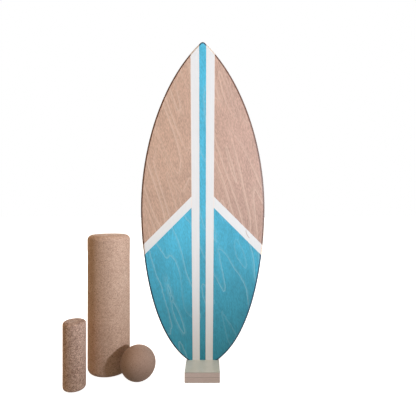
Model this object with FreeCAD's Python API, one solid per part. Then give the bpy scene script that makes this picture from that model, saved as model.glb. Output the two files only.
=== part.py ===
"""Roller balance board set: a pointed plywood deck standing on its tail in a small slotted stand,
with the cork roller that it rides on, a small cork roller and a cork ball beside it.

Frame, in millimetres: +Z is up, +X is to the right of somebody who faces the deck's standing face,
and +Y points away from them. The origin is on the floor, at the middle of the stand's underside.
"""

import os

import FreeCAD, Part
from FreeCAD import Vector
from math import cos, radians, sin

# Deck: outline, in the plane of the standing face, measured up from the tail
deck_length = 789.0
deck_width = 303.0
widest_above_tail = 381.0
nose_half_angle = 48.0  # between the centreline and the edge at the nose
nose_tip_radius = 8.0
nose_flare = 0.32  # straightness of the edge at the nose, as a share of the part above the widest
nose_hip = 0.38  # the same at the widest place, on the nose side
tail_end_width = 40.0  # the flat that the deck stands on
tail_corner_radius = 12.0
tail_rise_angle = 27.0  # between the tail's flat and the edge beside it
tail_flare = 0.86  # straightness of the edge at the tail, as a share of the half width
tail_hip = 0.21  # straightness at the widest place, as a share of the part below it

# Deck: lay-up of rotary-cut birch veneers, face and back sanded thinner than the core
core_ply_thickness = 1.4
core_ply_count = 9
face_ply_thickness = 1.2
edge_rounding = 5.0

# Stand: two boards glued flat on each other, the upper one in two halves that leave the slot
stand_width = 80.0
stand_depth = 150.0
stand_board_thickness = 12.0
stand_edge_rounding = 1.5
slot_side_clearance = 0.5

# End stops on the deck's underside, which keep the roller between them
stop_length = 130.0
stop_height = 22.0
stop_thickness = 16.0
stop_edge_rounding = 3.0
nose_stop_from_nose = 113.0  # to the stop's middle
tail_stop_from_tail = 113.0

# Countersunk wood screws, 4 x 25 mm, that hold the end stops
screws_per_stop = 3
screw_spacing = 42.0
screw_length = 25.0
screw_head_radius = 4.0
screw_sink = 0.5  # how far the head sits below the stop's surface
screw_shank_radius = 1.9
screw_hole_clearance = 0.2  # around the shank, in the stop
screw_thread_radius = 1.7  # at half the depth of the thread, inside the deck
screw_point_length = 3.0
recess_width = 1.0
recess_length = 4.4
recess_depth = 1.6

# Cork pieces
roller_diameter = 100.0
roller_length = 330.0
roller_edge_rounding = 12.0
small_roller_diameter = 49.0
small_roller_length = 148.0
small_roller_edge_rounding = 7.0
ball_diameter = 80.0

# Where the cork pieces stand: gaps between surfaces, and bearings from +X towards +Y
roller_to_deck_gap = 26.9
roller_ahead_of_deck = 7.4
ball_to_roller_gap = 8.1
ball_bearing = -34.0
small_roller_to_roller_gap = 29.9
small_roller_bearing = -119.4

# Sizes that follow from those above
deck_thickness = core_ply_count * core_ply_thickness + 2 * face_ply_thickness
deck_front = -deck_thickness / 2
deck_back = deck_thickness / 2
tail_z = stand_board_thickness  # the tail rests on the lower board
nose_z = tail_z + deck_length
stand_height = 2 * stand_board_thickness
slot_half_width = deck_thickness / 2 + slot_side_clearance
stop_back = deck_back + stop_thickness
screw_top = stop_back - screw_sink
screw_head_height = screw_head_radius - screw_shank_radius  # a right angle across the cone

X_AXIS = Vector(1, 0, 0)
Y_AXIS = Vector(0, 1, 0)
Z_AXIS = Vector(0, 0, 1)


def box(x_range, y_range, z_range):
    """A box between the two values given on each axis."""
    low = Vector(x_range[0], y_range[0], z_range[0])
    size = Vector(x_range[1], y_range[1], z_range[1]) - low
    return Part.makeBox(size.x, size.y, size.z, low)


def mirrored(points):
    """The same points on the other side of the deck's centreline, in reverse order."""
    return [Vector(-p.x, p.y, p.z) for p in reversed(points)]


def bezier(points):
    curve = Part.BezierCurve()
    curve.setPoles(points)
    return curve.toShape()


def edges_along_y(shape, x, z, tolerance=0.5):
    """The straight edges of shape that run along Y through (x, z)."""
    found = []
    for edge in shape.Edges:
        ends = [v.Point for v in edge.Vertexes]
        on_line = [abs(p.x - x) < tolerance and abs(p.z - z) < tolerance for p in ends]
        if len(ends) == 2 and all(on_line) and abs(ends[0].y - ends[1].y) > tolerance:
            found.append(edge)
    return found


# Deck


def deck_outline():
    """The closed outline, with sharp corners at the nose and at both ends of the tail's flat."""
    half_width = deck_width / 2
    half_tail = tail_end_width / 2
    widest_z = tail_z + widest_above_tail
    nose_part = deck_length - widest_above_tail
    nose_angle = radians(nose_half_angle)
    tail_angle = radians(tail_rise_angle)
    # The sharp corner lies above the nose, so that its rounding ends at the deck's length
    corner_z = nose_z + nose_tip_radius * (1 / sin(nose_angle) - 1)
    nose_reach = nose_flare * nose_part
    tail_reach = tail_flare * half_width

    corner = Vector(0, deck_front, corner_z)
    widest = Vector(half_width, deck_front, widest_z)
    tail_corner = Vector(half_tail, deck_front, tail_z)
    nose_side = [
        corner,
        corner + Vector(sin(nose_angle), 0, -cos(nose_angle)) * nose_reach,
        widest + Z_AXIS * (nose_hip * nose_part),
        widest,
    ]
    tail_side = [
        widest,
        widest - Z_AXIS * (tail_hip * widest_above_tail),
        tail_corner + Vector(cos(tail_angle), 0, sin(tail_angle)) * tail_reach,
        tail_corner,
    ]
    other_corner = Vector(-half_tail, deck_front, tail_z)
    return Part.Wire(
        [
            bezier(nose_side),
            bezier(tail_side),
            Part.makeLine(tail_corner, other_corner),
            bezier(mirrored(tail_side)),
            bezier(mirrored(nose_side)),
        ]
    ), corner_z


def deck_blank():
    """The whole deck before it is divided into veneers, with its corners and rims rounded."""
    outline, corner_z = deck_outline()
    blank = Part.Face(outline).extrude(Y_AXIS * deck_thickness)
    blank = blank.makeFillet(nose_tip_radius, edges_along_y(blank, 0, corner_z))
    for side in (-1, 1):
        corner_edges = edges_along_y(blank, side * tail_end_width / 2, tail_z)
        blank = blank.makeFillet(tail_corner_radius, corner_edges)
    rims = [e for e in blank.Edges if e.BoundBox.YLength < 0.01]
    return blank.makeFillet(edge_rounding, rims)


def ply_names_and_depths():
    """Each veneer's node name with where it starts and ends across the deck, face first."""
    last = core_ply_count + 2
    names = ["deck_face_veneer"]
    names += [f"deck_ply_{n:02d}" for n in range(2, last)]
    names.append("deck_back_veneer")
    thicknesses = [face_ply_thickness] + [core_ply_thickness] * core_ply_count + [face_ply_thickness]
    plies = []
    start = deck_front
    for name, thickness in zip(names, thicknesses):
        plies.append((name, start, start + thickness))
        start += thickness
    return plies


def deck_plies(screws):
    """The veneers, as slices of the blank with the screws' holes cut where they reach."""
    blank = deck_blank()
    reach = deck_width
    plies = {}
    for name, start, end in ply_names_and_depths():
        slab = box((-reach, reach), (start, end), (tail_z - reach, nose_z + reach))
        ply = blank.common(slab)
        for screw in screws:
            if screw.BoundBox.YMin < end:
                ply = ply.cut(screw)
        plies[name] = ply
    return plies


# End stops


def screw_xs():
    """Where the screws stand along a stop, evenly about its middle."""
    spread = screw_spacing * (screws_per_stop - 1)
    return [n * screw_spacing - spread / 2 for n in range(screws_per_stop)]


def wood_screw(x, z):
    """A countersunk screw with a cross recess, driven from the stop's surface into the deck."""
    cone_start = screw_top - screw_head_height
    point_end = screw_top - screw_length
    point_start = point_end + screw_point_length
    profile = [
        Vector(0, point_end, 0),
        Vector(screw_thread_radius, point_start, 0),
        Vector(screw_thread_radius, deck_back, 0),
        Vector(screw_shank_radius, deck_back, 0),
        Vector(screw_shank_radius, cone_start, 0),
        Vector(screw_head_radius, screw_top, 0),
        Vector(0, screw_top, 0),
        Vector(0, point_end, 0),
    ]
    screw = Part.Face(Part.makePolygon(profile)).revolve(Vector(0, 0, 0), Y_AXIS, 360)
    for across_x, across_z in ((recess_length, recess_width), (recess_width, recess_length)):
        recess = box(
            (-across_x / 2, across_x / 2),
            (screw_top - recess_depth, screw_top + recess_depth),
            (-across_z / 2, across_z / 2),
        )
        screw = screw.cut(recess)
    screw.translate(Vector(x, 0, z))
    return screw


def screw_hole(x, z):
    """The hole through a stop: clearance for the shank, the head's cone and the bore above it."""
    cone_start = screw_top - screw_head_height
    hole_radius = screw_shank_radius + screw_hole_clearance
    shank = Part.makeCylinder(hole_radius, stop_thickness, Vector(x, deck_back, z), Y_AXIS)
    cone = Part.makeCone(
        screw_shank_radius, screw_head_radius, screw_head_height, Vector(x, cone_start, z), Y_AXIS
    )
    bore = Part.makeCylinder(screw_head_radius, screw_sink, Vector(x, screw_top, z), Y_AXIS)
    return shank.fuse(cone).fuse(bore)


def stop_bar(middle_z):
    """A wooden bar with half-round ends, rounded along its outer rim, and bored for its screws."""
    end_radius = stop_height / 2
    straight = stop_length / 2 - end_radius
    z_range = (middle_z - end_radius, middle_z + end_radius)
    bar = box((-straight, straight), (deck_back, stop_back), z_range)
    for side in (-1, 1):
        centre = Vector(side * straight, deck_back, middle_z)
        bar = bar.fuse(Part.makeCylinder(end_radius, stop_thickness, centre, Y_AXIS))
    bar = bar.removeSplitter()
    outer_rim = [e for e in bar.Edges if abs(e.BoundBox.YMin - stop_back) < 0.01]
    bar = bar.makeFillet(stop_edge_rounding, outer_rim)
    for x in screw_xs():
        bar = bar.cut(screw_hole(x, middle_z))
    return bar


def end_stops():
    """Both bars with their screws, and a list of all screws for the deck's holes."""
    middles = {
        "nose_stop": nose_z - nose_stop_from_nose,
        "tail_stop": tail_z + tail_stop_from_tail,
    }
    pieces = {}
    all_screws = []
    for name, middle_z in middles.items():
        screws = [wood_screw(x, middle_z) for x in screw_xs()]
        all_screws += screws
        pieces[f"{name}_bar"] = stop_bar(middle_z)
        pieces[f"{name}_screws"] = Part.makeCompound(screws)
    return pieces, all_screws


# Stand


def stand_pieces():
    """The lower board and the two halves of the upper board, which leave the slot between them."""
    half_width = stand_width / 2
    half_depth = stand_depth / 2
    x_range = (-half_width, half_width)
    lower_z = (0, stand_board_thickness)
    upper_z = (stand_board_thickness, stand_height)
    boards = {
        "stand_base_board": box(x_range, (-half_depth, half_depth), lower_z),
        "stand_front_board": box(x_range, (-half_depth, -slot_half_width), upper_z),
        "stand_rear_board": box(x_range, (slot_half_width, half_depth), upper_z),
    }
    corners = [(x, y) for x in x_range for y in (-half_depth, half_depth)]
    for name, board in boards.items():
        upright = []
        for edge in board.Edges:
            mid = edge.CenterOfMass
            at_corner = any(abs(mid.x - x) < 0.01 and abs(mid.y - y) < 0.01 for x, y in corners)
            if at_corner and edge.BoundBox.ZLength > 0.01:
                upright.append(edge)
        boards[name] = board.makeFillet(stand_edge_rounding, upright)
    return boards


# Cork pieces


def standing_roller(diameter, length, rounding, place):
    """A solid cork cylinder that stands on one end, rounded at both rims."""
    roller = Part.makeCylinder(diameter / 2, length, place, Z_AXIS)
    rims = [e for e in roller.Edges if e.BoundBox.ZLength < 0.01]
    return roller.makeFillet(rounding, rims)


def beside(place, bearing, distance):
    """The point on the floor at that bearing and distance from another."""
    angle = radians(bearing)
    return place + Vector(cos(angle), sin(angle), 0) * distance


def cork_pieces():
    roller_x = -(deck_width / 2 + roller_to_deck_gap + roller_diameter / 2)
    roller_place = Vector(roller_x, -roller_ahead_of_deck, 0)
    ball_distance = roller_diameter / 2 + ball_to_roller_gap + ball_diameter / 2
    ball_place = beside(roller_place, ball_bearing, ball_distance)
    small_distance = (roller_diameter + small_roller_diameter) / 2 + small_roller_to_roller_gap
    small_place = beside(roller_place, small_roller_bearing, small_distance)
    ball_centre = ball_place + Z_AXIS * (ball_diameter / 2)
    return {
        "cork_roller": standing_roller(
            roller_diameter, roller_length, roller_edge_rounding, roller_place
        ),
        "small_cork_roller": standing_roller(
            small_roller_diameter, small_roller_length, small_roller_edge_rounding, small_place
        ),
        "cork_ball": Part.makeSphere(ball_diameter / 2, ball_centre, Z_AXIS),
    }


def main():
    pieces, screws = end_stops()
    pieces.update(deck_plies(screws))
    pieces.update(stand_pieces())
    pieces.update(cork_pieces())
    os.makedirs("parts", exist_ok=True)
    for name, shape in pieces.items():
        shape.exportStep(f"parts/{name}.step")
        print(f"{name}: {len(shape.Solids)} solids, valid {shape.isValid()}, {shape.Volume:.0f} mm3")


main()
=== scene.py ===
"""The looks of the balance board set: stained plywood deck, slotted stand and cork pieces.

Lengths are in metres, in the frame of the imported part: +Z up, +X to the right of somebody who faces
the deck's painted side, the origin on the floor at the middle of the stand.
"""

import math

import bmesh
import bpy
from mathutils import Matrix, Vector, noise


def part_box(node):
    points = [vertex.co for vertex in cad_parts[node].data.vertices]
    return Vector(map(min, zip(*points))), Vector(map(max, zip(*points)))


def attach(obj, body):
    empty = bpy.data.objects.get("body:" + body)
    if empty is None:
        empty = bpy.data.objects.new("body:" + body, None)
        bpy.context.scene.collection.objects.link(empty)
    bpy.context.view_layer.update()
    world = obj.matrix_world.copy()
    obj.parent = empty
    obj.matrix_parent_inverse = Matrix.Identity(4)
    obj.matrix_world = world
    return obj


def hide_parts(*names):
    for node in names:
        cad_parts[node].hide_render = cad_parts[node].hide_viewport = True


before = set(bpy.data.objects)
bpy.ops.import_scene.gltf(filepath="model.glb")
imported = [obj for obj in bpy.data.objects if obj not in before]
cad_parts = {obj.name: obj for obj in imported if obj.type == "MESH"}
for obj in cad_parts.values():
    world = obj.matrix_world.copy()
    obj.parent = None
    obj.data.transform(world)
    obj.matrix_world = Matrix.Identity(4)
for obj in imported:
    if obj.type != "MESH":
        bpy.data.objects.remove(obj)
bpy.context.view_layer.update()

MM = 0.001

# Camera: level, a little right of the deck's middle and about as high
CAMERA_PLACE = Vector((0.0130, -0.8978, 0.3945))
SENSOR_WIDTH = 36.0
LENS = 31.5865  # focal length, in the sensor's unit

# Key light: from the right and in front, aimed high so that its beam fades towards the floor
KEY_AIM = Vector((-0.08, -0.02, 0.69))
KEY_BEARING = math.radians(36)
KEY_RISE = -0.02  # for each unit of distance
KEY_DISTANCE = 2.3
KEY_CONE = math.radians(41)
KEY_CONE_BLEND = 0.88
KEY_RADIUS = 0.10
KEY_POWER = 278
KEY_COLOUR = (0.79, 0.87, 0.99)

# Soft light from all round: warm, and weaker from below
AMBIENT_COLOUR = (1.0, 0.77, 0.47, 1)
AMBIENT_BELOW = 0.12
AMBIENT_ABOVE = 0.34

# Floor: half its width, and how brightly it glows near the object and far out
FLOOR_HALF = 14
FLOOR_NEAR = 0.45
FLOOR_FAR = 1.6
FLOOR_GLOW_NEAR = 0.92
FLOOR_GLOW_FAR = 1.2

CORE_PLIES = [f"deck_ply_{n:02d}" for n in range(2, 11)]
STOPS = ["nose_stop_bar", "tail_stop_bar"]
SCREWS = ["nose_stop_screws", "tail_stop_screws"]

# Places and sizes read from the frame
FACE_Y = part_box("deck_face_veneer")[0].y
CORE_LOW, CORE_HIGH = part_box("deck_ply_06")
CORE_START_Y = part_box("deck_ply_02")[0].y
CORE_PLY = CORE_HIGH.y - CORE_LOW.y
TAIL_Z = CORE_LOW.z
STAND_SEAM_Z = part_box("stand_base_board")[1].z
STAND_TOP_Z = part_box("stand_front_board")[1].z

# The painted pattern on the deck's face
BAND_HALF_AT_TAIL = 24.4 * MM
BAND_WIDENING = 0.0070  # of each side, for each unit of height
STRIPE_HALF_AT_TAIL = 7.15 * MM
STRIPE_WIDENING = 0.0020
CHEVRON_TOP = 450.0 * MM  # where its edges would meet on the centreline
CHEVRON_BOTTOM = 422.5 * MM
PAINT_SOFTNESS = 0.35 * MM
STAIN_REACH = 5.0 * MM  # how far the stain runs over the edge, from the face
CURL_X = 108 * MM  # the curl of grain that shows through the white paint
CURL_Z = 330 * MM
CURL_LEAN = 0.45
GRAIN_LEAN = math.radians(14)

# Cork pieces: rounding of the rollers' ends, and cells along a quarter of their rim
ROLLER_ROUNDING = 12 * MM
ROLLER_CELLS = 60
SMALL_ROLLER_ROUNDING = 7 * MM
SMALL_ROLLER_CELLS = 44
BALL_CELLS = 72  # along each of the six sides that the ball is made from
TOP_SHADE_REACH = 5 * MM  # how far down from the small roller's top end the painted shade reaches


def srgb(red, green, blue):
    """A display colour, 0 to 255, as the linear colour that shaders take."""
    channels = []
    for value in (red, green, blue):
        share = value / 255
        linear = share / 12.92 if share <= 0.04045 else ((share + 0.055) / 1.055) ** 2.4
        channels.append(linear)
    return (*channels, 1.0)


def scaled_colour(colour, factor):
    """A linear colour made darker or lighter all over."""
    return (*(channel * factor for channel in colour[:3]), 1.0)


# Colours of the deck's face
BROWN_STAIN_LEFT = srgb(206, 169, 147)
BROWN_STAIN_RIGHT = srgb(200, 164, 148)
BROWN_RING = srgb(230, 202, 182)
BLUE_STAIN_LOW = srgb(47, 147, 171)
BLUE_STAIN_HIGH = srgb(80, 183, 213)
BLUE_RING = srgb(170, 212, 218)
WHITE_PAINT = srgb(238, 237, 236)
WHITE_PAINT_RIM = srgb(244, 236, 230)
CURL_TINT = srgb(176, 140, 124)

# Colours of the deck's rounded edge and core; the dark stained edge colours also carry painted shade
BROWN_ROUNDING_STAIN_AND_SHADE = srgb(100, 66, 52)
BLUE_ROUNDING_STAIN_AND_SHADE = srgb(16, 66, 92)
BARE_ROUNDING = srgb(226, 210, 198)
BROWN_PLY_STAIN_AND_SHADE = srgb(100, 68, 54)
BLUE_PLY_STAIN_AND_SHADE = srgb(18, 68, 94)
END_GRAIN = srgb(186, 148, 112)
LONG_GRAIN = srgb(226, 196, 158)
GLUE_LINE = srgb(92, 58, 38)

# Colours of the underside, stops and screws
BIRCH_DARK = srgb(222, 190, 150)
BIRCH_LIGHT = srgb(232, 204, 168)
BIRCH_RING = srgb(196, 150, 104)
BEECH = srgb(205, 158, 112)
ZINC = srgb(158, 158, 156)
ZINC_YELLOWED = srgb(166, 158, 136)

# Colours of the stand
STAND_WOOD = srgb(227, 208, 203)
# Dark joint colour for the seam between boards, also used as painted shade along the stand's foot
STAND_SEAM_AND_FLOOR_SHADE = srgb(110, 82, 70)
STAND_UNDER_PAINT = srgb(120, 92, 80)
STAND_GREY_DARK = srgb(222, 221, 211)
STAND_GREY_LIGHT = srgb(229, 227, 219)

# Colours of the cork: pale and dark granules
FINE_CORK = (srgb(211, 177, 154), srgb(164, 130, 110))
COARSE_CORK = (srgb(222, 188, 167), srgb(152, 118, 104))
DENSE_CORK = (srgb(186, 155, 137), srgb(154, 123, 107))


# Shader building blocks


class Shader:
    """A material's node tree, with short calls that add one node each and return its output."""

    def __init__(self, name):
        self.material = bpy.data.materials.new(name)
        self.material.use_nodes = True
        self.tree = self.material.node_tree
        self.tree.nodes.clear()
        self.output = self.tree.nodes.new("ShaderNodeOutputMaterial")
        self.bsdf = self.tree.nodes.new("ShaderNodeBsdfPrincipled")
        self.tree.links.new(self.bsdf.outputs[0], self.output.inputs["Surface"])
        self.coordinates = self.tree.nodes.new("ShaderNodeTexCoord")

    @property
    def place(self):
        return self.coordinates.outputs["Object"]

    def set(self, socket, value):
        if isinstance(value, bpy.types.NodeSocket):
            self.tree.links.new(value, socket)
        elif socket.type == "VECTOR":
            socket.default_value = value[:3]
        else:
            socket.default_value = value

    def math(self, operation, *values, clamp=False):
        node = self.tree.nodes.new("ShaderNodeMath")
        node.operation = operation
        node.use_clamp = clamp
        for socket, value in zip(node.inputs, values):
            self.set(socket, value)
        return node.outputs[0]

    def add(self, a, b):
        return self.math("ADD", a, b)

    def subtract(self, a, b):
        return self.math("SUBTRACT", a, b)

    def multiply(self, a, b):
        return self.math("MULTIPLY", a, b)

    def smooth(self, value, low, high, to_low=0.0, to_high=1.0):
        """value from low to high, eased, as to_low to to_high."""
        node = self.tree.nodes.new("ShaderNodeMapRange")
        node.interpolation_type = "SMOOTHSTEP"
        for socket, given in zip(node.inputs, (value, low, high, to_low, to_high)):
            self.set(socket, given)
        return node.outputs[0]

    def axes(self, vector):
        node = self.tree.nodes.new("ShaderNodeSeparateXYZ")
        self.set(node.inputs[0], vector)
        return node.outputs[0], node.outputs[1], node.outputs[2]

    def vector(self, x, y, z):
        node = self.tree.nodes.new("ShaderNodeCombineXYZ")
        for socket, value in zip(node.inputs, (x, y, z)):
            self.set(socket, value)
        return node.outputs[0]

    def grain_space(self, width, length, lean=0.0, seed=0.0, vector=None):
        """Coordinates for grain that runs up along Z: one unit is width across and length along it."""
        turned = self.tree.nodes.new("ShaderNodeMapping")
        self.set(turned.inputs["Vector"], vector or self.place)
        turned.inputs["Rotation"].default_value = (0, lean, 0)
        scaled = self.tree.nodes.new("ShaderNodeMapping")
        self.set(scaled.inputs["Vector"], turned.outputs[0])
        scaled.inputs["Scale"].default_value = (1 / width, 1 / width, 1 / length)
        scaled.inputs["Location"].default_value = (seed, seed, seed)
        return scaled.outputs[0]

    def noise(self, vector, scale=1.0, detail=3.0, roughness=0.5):
        node = self.tree.nodes.new("ShaderNodeTexNoise")
        self.set(node.inputs["Vector"], vector)
        node.inputs["Scale"].default_value = scale
        node.inputs["Detail"].default_value = detail
        node.inputs["Roughness"].default_value = roughness
        return node.outputs["Fac"]

    def cells(self, vector, scale=1.0, feature="F1", output="Distance"):
        node = self.tree.nodes.new("ShaderNodeTexVoronoi")
        node.feature = feature
        self.set(node.inputs["Vector"], vector)
        node.inputs["Scale"].default_value = scale
        return node.outputs[output]

    def mix(self, share, a, b, blend="MIX"):
        node = self.tree.nodes.new("ShaderNodeMix")
        node.data_type = "RGBA"
        node.blend_type = blend
        for socket, value in zip((node.inputs[0], node.inputs[6], node.inputs[7]), (share, a, b)):
            self.set(socket, value)
        return node.outputs[2]

    def brightness(self, colour, factor):
        """colour times a factor that varies over the surface."""
        node = self.tree.nodes.new("ShaderNodeVectorMath")
        node.operation = "SCALE"
        self.set(node.inputs[0], colour)
        self.set(node.inputs["Scale"], factor)
        return node.outputs[0]

    def relief(self, height, distance, strength):
        node = self.tree.nodes.new("ShaderNodeBump")
        node.inputs["Strength"].default_value = strength
        node.inputs["Distance"].default_value = distance
        self.set(node.inputs["Height"], height)
        return node.outputs[0]

    def finish(self, colour, roughness, normal, **sockets):
        """Joins the main sockets, and sets any others by name, with _ for each space."""
        self.set(self.bsdf.inputs["Base Color"], colour)
        self.set(self.bsdf.inputs["Roughness"], roughness)
        self.set(self.bsdf.inputs["Normal"], normal)
        for name, value in sockets.items():
            self.set(self.bsdf.inputs[name.replace("_", " ")], value)
        return self.material


def paint(node_name, material):
    """The CAD node keeps its mesh and takes the material."""
    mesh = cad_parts[node_name].data
    mesh.materials.clear()
    mesh.materials.append(material)


# Stage, lights and camera


def make_camera():
    data = bpy.data.cameras.new("camera")
    data.lens = LENS
    data.sensor_width = SENSOR_WIDTH
    data.clip_start = 0.01
    camera = bpy.data.objects.new("camera", data)
    bpy.context.scene.collection.objects.link(camera)
    camera.location = CAMERA_PLACE
    camera.rotation_euler = (math.radians(90), 0, 0)
    bpy.context.scene.camera = camera


def make_floor():
    """A white floor that glows, a little less near the object, and adds no diffuse light to it."""
    shader = Shader("floor_paint")
    x, y, _ = shader.axes(shader.place)
    reach = shader.math("POWER", shader.add(shader.multiply(x, x), shader.multiply(y, y)), 0.5)
    glow = shader.smooth(reach, FLOOR_NEAR, FLOOR_FAR, FLOOR_GLOW_NEAR, FLOOR_GLOW_FAR)
    grain = shader.noise(shader.place, scale=60, detail=4)
    tone = shader.smooth(grain, 0.3, 0.7, 0.98, 1.0)
    colour = shader.brightness(srgb(240, 240, 240), tone)
    bump = shader.relief(grain, 0.2 * MM, 0.3)
    material = shader.finish(colour, 0.7, bump, Emission_Color=(1, 1, 1, 1), Emission_Strength=glow)
    mesh = bpy.data.meshes.new("floor")
    shape = bmesh.new()
    bmesh.ops.create_grid(shape, x_segments=1, y_segments=1, size=FLOOR_HALF)
    shape.to_mesh(mesh)
    shape.free()
    mesh.materials.append(material)
    floor = bpy.data.objects.new("floor", mesh)
    bpy.context.scene.collection.objects.link(floor)
    floor.visible_diffuse = False


def add_light(name, kind, place, aim, power, colour):
    data = bpy.data.lights.new(name, kind)
    data.energy = power
    data.color = colour
    light = bpy.data.objects.new(name, data)
    bpy.context.scene.collection.objects.link(light)
    light.location = place
    light.rotation_euler = (Vector(aim) - Vector(place)).to_track_quat("-Z", "Y").to_euler()
    return data


def make_lights():
    """A key from the right whose beam fades towards the floor, and weak soft light all round."""
    towards_key = Vector((math.cos(KEY_BEARING), -math.sin(KEY_BEARING), KEY_RISE))
    key_place = KEY_AIM + KEY_DISTANCE * towards_key
    key = add_light("key", "SPOT", key_place, KEY_AIM, KEY_POWER, KEY_COLOUR)
    key.spot_size = KEY_CONE
    key.spot_blend = KEY_CONE_BLEND
    key.shadow_soft_size = KEY_RADIUS
    # Name, place, aim, power, size and colour
    soft_lights = (
        ("overhead", (0.3, -0.5, 2.5), (-0.05, 0, 0), 12, 1.8, (0.9, 0.96, 1.0)),
        ("front", (-0.4, -2.3, 1.1), (-0.1, 0, 0.15), 0.6, 0.6, (1.0, 0.97, 0.93)),
        ("left", (-1.6, -0.35, 0.95), (-0.28, 0, 0.3), 5.6, 0.7, (1.0, 0.66, 0.32)),
        ("behind", (-0.9, 2.3, 1.1), (-0.05, 0, 0.35), 36, 1.5, (0.95, 0.97, 1.0)),
    )
    for name, place, aim, power, size, colour in soft_lights:
        light = add_light(name, "AREA", place, aim, power, colour)
        light.size = size


def make_world():
    """Pure white to the camera; as light, warm from above the floor and dim from below it."""
    world = bpy.data.worlds.new("studio")
    bpy.context.scene.world = world
    world.use_nodes = True
    tree = world.node_tree
    tree.nodes.clear()
    nodes, links = tree.nodes, tree.links
    output = nodes.new("ShaderNodeOutputWorld")
    path = nodes.new("ShaderNodeLightPath")
    mix = nodes.new("ShaderNodeMixShader")
    seen = nodes.new("ShaderNodeBackground")
    seen.inputs["Color"].default_value = (1, 1, 1, 1)
    lighting = nodes.new("ShaderNodeBackground")
    lighting.inputs["Color"].default_value = AMBIENT_COLOUR
    directions = nodes.new("ShaderNodeTexCoord")
    axes = nodes.new("ShaderNodeSeparateXYZ")
    links.new(directions.outputs["Generated"], axes.inputs[0])
    strength = nodes.new("ShaderNodeMapRange")
    strength.interpolation_type = "SMOOTHSTEP"
    links.new(axes.outputs[2], strength.inputs[0])
    for socket, value in zip(list(strength.inputs)[1:5], (-0.30, 0.35, AMBIENT_BELOW, AMBIENT_ABOVE)):
        socket.default_value = value
    links.new(strength.outputs[0], lighting.inputs["Strength"])
    links.new(path.outputs["Is Camera Ray"], mix.inputs[0])
    links.new(lighting.outputs[0], mix.inputs[1])
    links.new(seen.outputs[0], mix.inputs[2])
    links.new(mix.outputs[0], output.inputs[0])


# Plywood


def inside(shader, distance):
    """1 where distance is positive, with a soft edge of stain that crept under the mask."""
    return shader.smooth(distance, -PAINT_SOFTNESS, PAINT_SOFTNESS)


def stripe_pattern(shader, x, z):
    """Where the deck's face is white, where it is blue, and where white meets its neighbour."""
    side = shader.math("ABSOLUTE", x)
    height = shader.subtract(z, TAIL_Z)
    band_half = shader.add(shader.multiply(height, BAND_WIDENING), BAND_HALF_AT_TAIL)
    stripe_half = shader.add(shader.multiply(height, STRIPE_WIDENING), STRIPE_HALF_AT_TAIL)
    band_margin = shader.subtract(band_half, side)
    stripe_margin = shader.subtract(side, stripe_half)
    in_band = inside(shader, band_margin)
    in_stripe = shader.subtract(1.0, inside(shader, stripe_margin))
    slope_place = shader.add(z, side)
    below_upper = inside(shader, shader.subtract(CHEVRON_TOP, slope_place))
    below_lower = inside(shader, shader.subtract(CHEVRON_BOTTOM, slope_place))
    chevron = shader.subtract(below_upper, below_lower)
    white = shader.math("MAXIMUM", in_band, chevron)
    white = shader.math("MINIMUM", white, shader.subtract(1.0, in_stripe))
    outside_band = shader.subtract(1.0, in_band)
    blue = shader.math("MAXIMUM", in_stripe, shader.multiply(below_lower, outside_band))
    nearest = shader.math("MINIMUM", band_margin, stripe_margin)
    rim = shader.smooth(shader.math("ABSOLUTE", nearest), 0.8 * MM, 2.2 * MM, 1.0, 0.0)
    return white, blue, rim


def figure_height(shader, width, length, lean, seed, wander, shift):
    """The height field whose contours are the growth rings, read at a place shifted by shift."""
    moved = shader.tree.nodes.new("ShaderNodeVectorMath")
    moved.operation = "ADD"
    shader.set(moved.inputs[0], shader.place)
    moved.inputs[1].default_value = shift
    place = moved.outputs[0]
    space = shader.grain_space(width, length, lean, seed, vector=place)
    height = shader.noise(space, 1.0, detail=1.0, roughness=0.4)
    wiggle_space = shader.grain_space(width / 5, length / 14, lean, seed + 3, vector=place)
    wiggle = shader.noise(wiggle_space, 1.0, detail=3, roughness=0.6)
    return shader.add(height, shader.multiply(wiggle, wander))


def growth_rings(shader, width, length, rings, lean, seed, wander, thin, wide):
    """Wandering contour lines of rotary-cut veneer: 1 on a line, with a faint fade on one side.

    The figure's swells are width across and length along the grain, with so many rings for each
    unit of height. wander is how uneven the lines are, thin how wide they are and wide how far
    their fade reaches. The height's slope turns its phase into a distance, so that a line is as
    wide round the end of a loop as along its sides.
    """
    step = 1.0 * MM
    height = figure_height(shader, width, length, lean, seed, wander, (0, 0, 0))
    sideways = figure_height(shader, width, length, lean, seed, wander, (step, 0, 0))
    upwards = figure_height(shader, width, length, lean, seed, wander, (0, 0, step))
    across = shader.subtract(sideways, height)
    along = shader.subtract(upwards, height)
    steepness = shader.add(shader.multiply(across, across), shader.multiply(along, along))
    slope = shader.math("POWER", steepness, 0.5)
    spacing = shader.math("DIVIDE", step / rings, shader.math("MAXIMUM", slope, 0.0008))
    phase = shader.math("FRACT", shader.multiply(height, rings))
    from_middle = shader.math("ABSOLUTE", shader.subtract(phase, 0.5))
    distance = shader.multiply(shader.subtract(0.5, from_middle), spacing)
    lines = shader.smooth(distance, thin * 0.3, thin, 1.0, 0.0)
    fade = shader.smooth(distance, 0.0, wide, 0.45, 0.0)
    fade = shader.multiply(fade, shader.smooth(phase, 0.45, 0.55))
    presence = shader.noise(shader.grain_space(width * 1.3, length * 0.6, lean, seed + 7), 1.0, detail=1)
    share = shader.smooth(presence, 0.36, 0.58, 0.4, 1.0)
    return shader.multiply(shader.math("MAXIMUM", lines, fade), share)


def pores(shader, width, length, lean, seed, low=0.3, high=0.7):
    """Short streaks along the grain, from -1 to 1; a narrower low to high makes them crisper."""
    streaks = shader.noise(shader.grain_space(width, length, lean, seed), 1.0, detail=2, roughness=0.6)
    return shader.smooth(streaks, low, high, -1.0, 1.0)


def scaled_sum(shader, base, *terms):
    """base plus each (value, amount) product."""
    total = base
    for value, amount in terms:
        total = shader.add(shader.multiply(value, amount), total)
    return total


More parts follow.
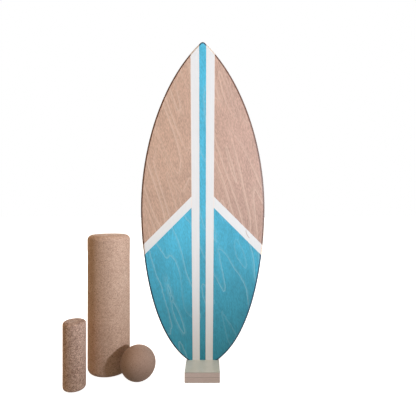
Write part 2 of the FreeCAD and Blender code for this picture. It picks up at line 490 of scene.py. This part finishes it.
def brown_stain(shader, x, z, fine, mottle, clouds, faint_rings):
    """Brown stain above the chevron, a little pinker on the right and darker lower down."""
    rings = growth_rings(shader, 46 * MM, 340 * MM, 8, math.radians(18), 12.9, 0.012, 2.2 * MM, 10 * MM)
    tone = scaled_sum(shader, 0.945, (fine, 0.15), (mottle, 0.02), (clouds, 0.04), (faint_rings, 0.07))
    brown = shader.mix(shader.smooth(x, -100 * MM, 110 * MM), BROWN_STAIN_LEFT, BROWN_STAIN_RIGHT)
    brown = shader.brightness(brown, tone)
    brown = shader.brightness(brown, shader.smooth(z, 380 * MM, 540 * MM, 0.93, 1.02))
    return shader.mix(shader.multiply(rings, 0.44), brown, BROWN_RING)


def blue_stain(shader, x, z, fine, mottle, clouds, faint_rings):
    """Blue stain with faint brush strokes, lighter higher up and on the left."""
    rings = growth_rings(shader, 48 * MM, 220 * MM, 6, GRAIN_LEAN, 26.1, 0.04, 1.5 * MM, 7 * MM)
    strokes = pores(shader, 2.6 * MM, 150 * MM, math.radians(3), 43.0, 0.34, 0.66)
    tone = scaled_sum(shader, 0.97, (fine, 0.13), (mottle, 0.02), (strokes, 0.045), (clouds, 0.07),
                      (faint_rings, 0.08))
    above_tail = shader.smooth(z, TAIL_Z + 20 * MM, TAIL_Z + 420 * MM)
    stain = shader.mix(above_tail, BLUE_STAIN_LOW, BLUE_STAIN_HIGH)
    stain = shader.brightness(stain, tone)
    stain = shader.brightness(stain, shader.smooth(x, -110 * MM, 110 * MM, 1.07, 0.94))
    return shader.mix(shader.multiply(rings, 0.36), stain, BLUE_RING)


def white_paint(shader, x, z, rim, mottle):
    """White paint, with a curl of grain that shows through it on the right-hand chevron."""
    streaks = pores(shader, 3.0 * MM, 120 * MM, 0.0, 4.0)
    tone = scaled_sum(shader, 0.985, (streaks, 0.012), (mottle, 0.008))
    paint_white = shader.brightness(shader.mix(rim, WHITE_PAINT, WHITE_PAINT_RIM), tone)
    from_curl_x = shader.subtract(x, CURL_X)
    from_curl_z = shader.subtract(z, CURL_Z)
    along = shader.add(from_curl_z, shader.multiply(from_curl_x, -CURL_LEAN))
    across = shader.add(from_curl_x, shader.multiply(from_curl_z, CURL_LEAN))
    bow = shader.multiply(shader.multiply(along, along), 0.016 / MM)
    off_curl = shader.math("ABSOLUTE", shader.subtract(across, bow))
    on_curl = shader.smooth(off_curl, 0.5 * MM, 1.5 * MM, 1.0, 0.0)
    near_curl = shader.smooth(shader.math("ABSOLUTE", along), 9 * MM, 14 * MM, 0.55, 0.0)
    return shader.mix(shader.multiply(on_curl, near_curl), paint_white, CURL_TINT)


def face_material():
    """Stained and painted face: brown and blue stain that shows the grain, and white paint between."""
    shader = Shader("deck_face_stain")
    x, y, z = shader.axes(shader.place)
    white, blue, rim = stripe_pattern(shader, x, z)
    fine = pores(shader, 1.2 * MM, 7 * MM, math.radians(9), 1.0, 0.36, 0.64)
    mottle = pores(shader, 2.8 * MM, 16 * MM, math.radians(13), 5.0, 0.34, 0.66)
    clouds = pores(shader, 40 * MM, 70 * MM, 0.2, 9.0)
    faint_rings = growth_rings(shader, 60 * MM, 340 * MM, 22, GRAIN_LEAN, 17.0, 0.02, 1.6 * MM, 3 * MM)
    grain = (fine, mottle, clouds, faint_rings)
    colour = shader.mix(blue, brown_stain(shader, x, z, *grain), blue_stain(shader, x, z, *grain))
    colour = shader.mix(white, colour, white_paint(shader, x, z, rim, mottle))

    # On the rounded edge the paint stops and the stain runs on, darker: real stain plus painted shade on
    # the roundover
    rounding = shader.smooth(y, FACE_Y + 0.01 * MM, FACE_Y + 0.14 * MM)
    edge_tone = shader.add(1.0, shader.multiply(fine, 0.06))
    edge_colour_with_shade = shader.brightness(shader.mix(blue, BROWN_ROUNDING_STAIN_AND_SHADE, BLUE_ROUNDING_STAIN_AND_SHADE), edge_tone)
    edge_colour_with_shade = shader.mix(white, edge_colour_with_shade, shader.brightness(BARE_ROUNDING, edge_tone))
    colour = shader.mix(rounding, colour, edge_colour_with_shade)

    roughness = scaled_sum(shader, 0.50, (fine, 0.05), (white, -0.08))
    covered = shader.multiply(shader.math("MAXIMUM", white, rounding), 0.75)
    bare_wood = shader.subtract(1.0, covered)
    relief = shader.relief(shader.multiply(fine, bare_wood), 0.05 * MM, 0.4)
    return shader.finish(colour, roughness, relief, Coat_Weight=0.06, Coat_Roughness=0.4,
                         Specular_IOR_Level=0.35)


def ply_edge_material(name, crosswise):
    """Edge of a core veneer: long grain pale and streaked, end grain darker and pored."""
    shader = Shader(name)
    x, y, z = shader.axes(shader.place)
    white, blue, _ = stripe_pattern(shader, x, z)
    if crosswise:
        grain = shader.noise(shader.grain_space(0.7 * MM, 0.9 * MM, 0.0, 6.0), 1.0, detail=3, roughness=0.7)
        tone = shader.smooth(grain, 0.3, 0.7, 0.80, 1.08)
        wood = shader.brightness(END_GRAIN, tone)
    else:
        grain = shader.noise(shader.grain_space(0.8 * MM, 26 * MM, 0.0, 3.0), 1.0, detail=3, roughness=0.6)
        tone = shader.smooth(grain, 0.3, 0.7, 0.90, 1.06)
        wood = shader.brightness(LONG_GRAIN, tone)
    depth = shader.math("FRACT", shader.multiply(shader.subtract(y, CORE_START_Y), 1 / CORE_PLY))
    glue = shader.smooth(shader.math("ABSOLUTE", shader.subtract(depth, 0.5)), 0.42, 0.5, 0.0, 0.65)
    wood = shader.mix(glue, wood, GLUE_LINE)

    # Stain from the face runs a little way over the rounded edge, in colours darkened with painted shade
    ragged = shader.multiply(shader.subtract(grain, 0.5), 1.2 * MM)
    stain_end = FACE_Y + STAIN_REACH
    reach = shader.smooth(shader.add(y, ragged), stain_end - 1.2 * MM, stain_end, 1.0, 0.0)
    stain = shader.mix(blue, BROWN_PLY_STAIN_AND_SHADE, BLUE_PLY_STAIN_AND_SHADE)
    stain = shader.brightness(stain, tone)
    stained = shader.multiply(reach, shader.subtract(1.0, white))
    colour = shader.mix(stained, wood, stain)
    roughness = shader.smooth(grain, 0.3, 0.7, 0.62, 0.5)
    relief = shader.relief(grain, 0.10 * MM, 0.6)
    return shader.finish(colour, roughness, relief, Coat_Weight=0.1, Coat_Roughness=0.35)


def back_material():
    """Underside: clear-lacquered birch with the same kind of figure, unstained."""
    shader = Shader("deck_back_birch")
    rings = growth_rings(shader, 52 * MM, 240 * MM, 7, math.radians(-9), 21.0, 0.03, 2.2 * MM, 9 * MM)
    fine = pores(shader, 1.6 * MM, 14 * MM, math.radians(-4), 31.0)
    mottle = pores(shader, 9 * MM, 30 * MM, math.radians(-8), 35.0)
    clouds = pores(shader, 60 * MM, 120 * MM, 0.1, 39.0)
    base = shader.mix(shader.smooth(clouds, -1, 1), BIRCH_DARK, BIRCH_LIGHT)
    tone = scaled_sum(shader, 1.0, (rings, -0.16), (fine, 0.04), (mottle, 0.03))
    colour = shader.brightness(base, tone)
    colour = shader.mix(shader.multiply(rings, 0.25), colour, BIRCH_RING)
    roughness = scaled_sum(shader, 0.46, (fine, 0.05))
    relief = shader.relief(fine, 0.05 * MM, 0.5)
    return shader.finish(colour, roughness, relief, Coat_Weight=0.25, Coat_Roughness=0.25)


def stop_material():
    """Oiled beech bars: grain along X, small dark flecks, end grain at the ends."""
    shader = Shader("stop_beech")
    x, y, z = shader.axes(shader.place)
    lengthwise = shader.vector(z, y, x)
    space = shader.grain_space(1.4 * MM, 34 * MM, 0.0, 13.0, vector=lengthwise)
    grain = shader.noise(space, 1.0, detail=4, roughness=0.6)
    flecks = shader.cells(shader.grain_space(0.9 * MM, 5 * MM, 0.0, 17.0, vector=lengthwise), 1.0)
    fleck = shader.smooth(flecks, 0.10, 0.22, 1.0, 0.0)
    figure = shader.noise(shader.grain_space(9 * MM, 90 * MM, 0.05, 19.0, vector=lengthwise), 1.0, detail=2)
    rings = shader.math("FRACT", shader.multiply(figure, 11))
    tone = scaled_sum(shader, 0.80, (grain, 0.30), (rings, 0.08), (fleck, -0.22))
    colour = shader.brightness(BEECH, tone)
    roughness = shader.smooth(grain, 0.3, 0.7, 0.55, 0.42)
    relief = shader.relief(shader.subtract(grain, fleck), 0.08 * MM, 0.5)
    return shader.finish(colour, roughness, relief, Coat_Weight=0.15, Coat_Roughness=0.3)


def screw_material():
    """Zinc-plated steel: slightly yellowish patches, fine scratches from the driver."""
    shader = Shader("screw_zinc")
    patches = shader.noise(shader.place, scale=420, detail=3)
    scratches = shader.noise(shader.grain_space(0.12 * MM, 1.8 * MM, 0.7, 3.0), 1.0, detail=2)
    colour = shader.mix(shader.smooth(patches, 0.35, 0.65), ZINC, ZINC_YELLOWED)
    roughness = shader.smooth(scratches, 0.3, 0.7, 0.26, 0.48)
    relief = shader.relief(scratches, 0.02 * MM, 0.5)
    return shader.finish(colour, roughness, relief, Metallic=1.0)


def stand_material(name, painted):
    """Stand board: pinkish-brown layered edges; the upper boards' tops carry pale grey paint."""
    shader = Shader(name)
    x, y, z = shader.axes(shader.place)
    layers = shader.noise(shader.grain_space(900 * MM, 1.1 * MM, 0.0, 23.0), 1.0, detail=3, roughness=0.65)
    flat_space = shader.vector(shader.multiply(x, 90), shader.multiply(y, 90), shader.multiply(z, 1500))
    fibres = shader.noise(flat_space, 1.0, detail=3, roughness=0.6)
    tone = scaled_sum(shader, 0.62, (layers, 0.30), (fibres, 0.46))
    wood = shader.brightness(STAND_WOOD, tone)
    seam = shader.math("ABSOLUTE", shader.subtract(z, STAND_SEAM_Z))
    # Painted shade along the bottom edge where the stand meets the floor; the seam line is a real dark
    # joint
    floor_contact_shade = shader.smooth(z, 0.2 * MM, 1.6 * MM, 0.75, 0.0)
    shade = shader.math("MAXIMUM", shader.smooth(seam, 0.15 * MM, 0.6 * MM, 0.55, 0.0), floor_contact_shade)
    colour = shader.mix(shade, wood, STAND_SEAM_AND_FLOOR_SHADE)
    roughness = shader.smooth(fibres, 0.3, 0.7, 0.66, 0.52)
    relief = shader.relief(fibres, 0.10 * MM, 0.5)
    if painted:
        brushed = shader.noise(shader.grain_space(1.2 * MM, 60 * MM, math.radians(90), 29.0), 1.0, detail=3)
        wash = shader.noise(shader.place, scale=38, detail=3)
        grey = shader.mix(shader.smooth(wash, 0.3, 0.7), STAND_GREY_DARK, STAND_GREY_LIGHT)
        grey = shader.brightness(grey, shader.smooth(brushed, 0.3, 0.7, 0.975, 1.015))
        top = shader.smooth(z, STAND_TOP_Z - 0.9 * MM, STAND_TOP_Z - 0.5 * MM)
        under_paint = shader.smooth(z, STAND_TOP_Z - 2.0 * MM, STAND_TOP_Z - 1.3 * MM, 0.0, 0.35)
        colour = shader.mix(under_paint, colour, STAND_UNDER_PAINT)
        colour = shader.mix(top, colour, grey)
        roughness = shader.multiply(roughness, shader.subtract(1.0, shader.multiply(top, 0.45)))
    return shader.finish(colour, roughness, relief, Coat_Weight=0.08, Coat_Roughness=0.3)


def paint_cad_nodes():
    paint("deck_face_veneer", face_material())
    paint("deck_back_veneer", back_material())
    crosswise = ply_edge_material("deck_ply_crosswise", True)
    lengthwise = ply_edge_material("deck_ply_lengthwise", False)
    for number, node_name in enumerate(CORE_PLIES):
        paint(node_name, lengthwise if number % 2 else crosswise)
    beech = stop_material()
    for node_name in STOPS:
        paint(node_name, beech)
    zinc = screw_material()
    for node_name in SCREWS:
        paint(node_name, zinc)
    layered = stand_material("stand_layers", False)
    topped = stand_material("stand_painted_top", True)
    paint("stand_base_board", layered)
    paint("stand_front_board", topped)
    paint("stand_rear_board", topped)


# Cork


def cork_material(name, granule, light, dark, contrast, specks, speck_size, shaded_top_end=None):
    """Pressed cork: a tone for each granule, finer crumbs between, dark specks and pale flecks.

    specks is the share of cells of speck_size that hold a speck. The last argument is the height of
    the top end, which is made darker with painted shade.
    """
    shader = Shader(name)
    scale = 1 / granule
    granules = shader.axes(shader.cells(shader.place, scale, output="Color"))
    crumbs = shader.axes(shader.cells(shader.place, scale * 2.3, output="Color"))[1]
    seam = shader.smooth(shader.cells(shader.place, scale, feature="DISTANCE_TO_EDGE"), 0.0, 0.12, 1.0, 0.0)
    dust = shader.noise(shader.place, scale * 3.0, detail=3, roughness=0.7)
    clouds = shader.noise(shader.place, 26, detail=2)
    share = 0.5
    for value, amount in ((granules[0], 0.55), (crumbs, 0.42), (dust, 0.8), (clouds, 0.35)):
        share = shader.add(shader.multiply(shader.subtract(value, 0.5), amount * contrast), share)
    share = shader.math("ADD", share, shader.multiply(seam, -0.10 * contrast), clamp=True)
    colour = shader.mix(share, dark, light)

    speck_scale = 1 / speck_size
    pick = shader.axes(shader.cells(shader.place, speck_scale, output="Color"))[2]
    middle = shader.smooth(shader.cells(shader.place, speck_scale), 0.25, 0.48, 1.0, 0.0)
    dark_speck = shader.multiply(shader.smooth(pick, 1.0 - specks, 1.0 - specks * 0.7), middle)
    pale_fleck = shader.multiply(shader.smooth(pick, specks * 0.7, specks, 1.0, 0.0), middle)
    hollow = shader.tree.nodes.new("ShaderNodeAttribute")
    hollow.attribute_name = "hollow"
    pit_shade = shader.multiply(hollow.outputs["Fac"], 0.75)
    shade = shader.math("MAXIMUM", shader.multiply(dark_speck, 0.8), pit_shade)
    colour = shader.mix(shade, colour, scaled_colour(dark, 0.38))
    colour = shader.mix(shader.multiply(pale_fleck, 0.5), colour, scaled_colour(light, 1.2))
    # Painted shade: the top end is made darker towards the top
    if shaded_top_end is not None:
        height = shader.axes(shader.place)[2]
        top_shade = shader.smooth(height, shaded_top_end - TOP_SHADE_REACH, shaded_top_end - 1 * MM, 1.0, 0.76)
        colour = shader.brightness(colour, top_shade)

    roughness = shader.smooth(share, 0.2, 0.8, 0.92, 0.74)
    grain = scaled_sum(shader, shader.multiply(dust, 0.6), (granules[0], 0.3), (seam, -0.4),
                       (dark_speck, -0.8))
    relief = shader.relief(grain, granule * 0.08, 0.6)
    return shader.finish(colour, roughness, relief, Specular_IOR_Level=0.25)


def disc_place(row, column, count, radius):
    """A point of a square grid laid on a disc, so that its cells stay even."""
    u = 2 * row / count - 1
    v = 2 * column / count - 1
    if abs(u) < 1e-9 and abs(v) < 1e-9:
        return 0.0, 0.0
    if abs(u) > abs(v):
        reach, turn = u, (math.pi / 4) * (v / u)
    else:
        reach, turn = v, math.pi / 2 - (math.pi / 4) * (u / v)
    return radius * reach * math.cos(turn), radius * reach * math.sin(turn)


def grid_border(count):
    """The outer cells' corners of a count by count grid, once round from the corner (0, 0)."""
    border = [(0, n) for n in range(count)]
    border += [(n, count) for n in range(count)]
    border += [(count, count - n) for n in range(count)]
    border += [(count - n, 0) for n in range(count)]
    return border


def roller_shape(radius, height, rounding, count):
    """A closed roller of four-sided faces, standing on the origin."""
    shape = bmesh.new()
    flat_radius = radius - rounding
    cell = 2 * math.pi * radius / (4 * count)
    fillet_rows = max(4, round(rounding * math.pi / 2 / cell))
    side_rows = round((height - 2 * rounding) / cell)

    caps = []
    for z in (height, 0.0):
        grid = {}
        for row in range(count + 1):
            for column in range(count + 1):
                x, y = disc_place(row, column, count, flat_radius)
                grid[row, column] = shape.verts.new((x, y, z))
        caps.append(grid)
    top_cap, bottom_cap = caps
    for row in range(count):
        for column in range(count):
            corners = [(row, column), (row + 1, column), (row + 1, column + 1), (row, column + 1)]
            shape.faces.new([top_cap[corner] for corner in corners])
            shape.faces.new([bottom_cap[corner] for corner in reversed(corners)])

    profile = []
    for step in range(1, fillet_rows + 1):
        turn = math.pi / 2 * step / fillet_rows
        z = height - rounding + rounding * math.cos(turn)
        profile.append((flat_radius + rounding * math.sin(turn), z))
    for step in range(1, side_rows):
        z = height - rounding - (height - 2 * rounding) * step / side_rows
        profile.append((radius, z))
    for step in range(fillet_rows):
        turn = math.pi / 2 * step / fillet_rows
        z = rounding - rounding * math.sin(turn)
        profile.append((flat_radius + rounding * math.cos(turn), z))

    border = grid_border(count)
    previous = [top_cap[place] for place in border]
    for reach, z in profile:
        ring = []
        for vertex in (top_cap[place] for place in border):
            stretch = reach / flat_radius
            ring.append(shape.verts.new((vertex.co.x * stretch, vertex.co.y * stretch, z)))
        join_rings(shape, previous, ring)
        previous = ring
    join_rings(shape, previous, [bottom_cap[place] for place in border])
    return shape


def join_rings(shape, upper, lower):
    count = len(upper)
    for n in range(count):
        after = (n + 1) % count
        shape.faces.new((upper[n], upper[after], lower[after], lower[n]))


def ball_shape(radius, count):
    """A cube's six gridded faces pushed out to a sphere, centred on the origin."""
    shape = bmesh.new()
    bmesh.ops.create_cube(shape, size=2)
    bmesh.ops.subdivide_edges(shape, edges=shape.edges[:], cuts=count - 1, use_grid_fill=True)
    for vertex in shape.verts:
        even = Vector([math.tan(c * math.pi / 4) for c in vertex.co])
        vertex.co = even.normalized() * radius
    return shape


def carve_cork(shape, granule, grain_depth, pit_share, pit_depth, seed):
    """Sinks granules and a few pits below the surface, and records the pits for the material."""
    bmesh.ops.recalc_face_normals(shape, faces=shape.faces[:])
    shape.normal_update()
    layer = shape.verts.layers.float.new("hollow")
    shift = Vector((seed * 1.7, seed * 2.3, seed * 3.1))
    for vertex in shape.verts:
        spot = vertex.co / granule + shift
        grain = noise.cell(spot) * 0.25 + noise.noise(spot * 0.9) * 0.25 + 0.5
        distances, places = noise.voronoi(vertex.co / (granule * 2.0) - shift)
        draw = noise.noise(places[0] * 7.3) * 0.5 + 0.5
        pit = max(0.0, 1.0 - distances[0] / 0.40) if draw < pit_share else 0.0
        pit = pit * pit * (3 - 2 * pit)
        vertex[layer] = pit
        vertex.co -= vertex.normal * (max(grain, 0.0) * grain_depth + pit * pit_depth)


def cork_piece(name, shape, place, material, body, node_name):
    mesh = bpy.data.meshes.new(name)
    shape.to_mesh(mesh)
    shape.free()
    for polygon in mesh.polygons:
        polygon.use_smooth = True
    mesh.materials.append(material)
    piece = bpy.data.objects.new(name, mesh)
    piece.location = place
    bpy.context.scene.collection.objects.link(piece)
    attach(piece, body)
    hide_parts(node_name)
    return piece


def make_roller(name, node_name, body, material, rounding, count, carving):
    low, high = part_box(node_name)
    radius = (high.x - low.x) / 2
    shape = roller_shape(radius, high.z - low.z, rounding, count)
    carve_cork(shape, *carving)
    place = ((low.x + high.x) / 2, (low.y + high.y) / 2, low.z)
    cork_piece(name, shape, place, material, body, node_name)


def make_cork():
    small_low, small_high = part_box("small_cork_roller")
    small_height = small_high.z - small_low.z
    fine = cork_material("cork_fine", 1.8 * MM, *FINE_CORK, 1.1, 0.06, 2.4 * MM)
    coarse = cork_material("cork_coarse", 2.1 * MM, *COARSE_CORK, 1.5, 0.20, 2.6 * MM, small_height)
    dense = cork_material("cork_dense", 1.4 * MM, *DENSE_CORK, 0.8, 0.02, 2.0 * MM)

    # Carving: granule, depth of the grain, share and depth of the pits, seed
    fine_carving = (2.6 * MM, 0.04 * MM, 0.27, 0.30 * MM, 1.0)
    coarse_carving = (2.0 * MM, 0.06 * MM, 0.42, 0.45 * MM, 5.0)
    dense_carving = (1.8 * MM, 0.04 * MM, 0.25, 0.12 * MM, 9.0)
    make_roller("cork_roller_piece", "cork_roller", "roller", fine,
                ROLLER_ROUNDING, ROLLER_CELLS, fine_carving)
    make_roller("small_roller_piece", "small_cork_roller", "small_roller", coarse,
                SMALL_ROLLER_ROUNDING, SMALL_ROLLER_CELLS, coarse_carving)
    low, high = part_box("cork_ball")
    shape = ball_shape((high.z - low.z) / 2, BALL_CELLS)
    carve_cork(shape, *dense_carving)
    cork_piece("cork_ball_piece", shape, (low + high) / 2, dense, "ball", "cork_ball")


bpy.context.scene.view_settings.view_transform = "Standard"
make_camera()
make_world()
make_lights()
make_floor()
paint_cad_nodes()
make_cork()
